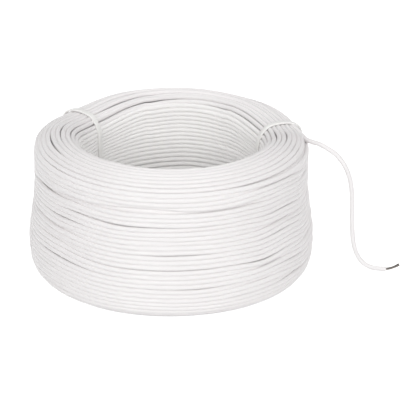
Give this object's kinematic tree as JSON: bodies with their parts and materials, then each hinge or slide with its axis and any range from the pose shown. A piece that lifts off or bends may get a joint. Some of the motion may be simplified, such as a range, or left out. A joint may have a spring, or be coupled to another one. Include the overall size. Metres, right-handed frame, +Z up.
{
  "type": "wire coil",
  "caption": "Bare cylindrical coil of white single-core electrical wire, held by two cable ties, with a short stripped free end that rests on the ground.",
  "frame": {"origin": "centre of the coil's eye, on the plane that the coil stands on", "axes": "+Z up along the eye; +X towards the side where the free end leaves; -Y is the front"},
  "size_m": [0.2304, 0.1768, 0.0896],
  "materials": {
    "insulation": "satin white PVC",
    "strands": "fine tinned copper strands, twisted",
    "tie": "natural white nylon"
  },
  "bodies": {
    "root": {"coil_core": "insulation", "outer_turns": "insulation", "wire_insulation": "insulation", "copper_strands": "strands", "tie_left": "tie", "tie_right": "tie"}
  },
  "joints": []
}
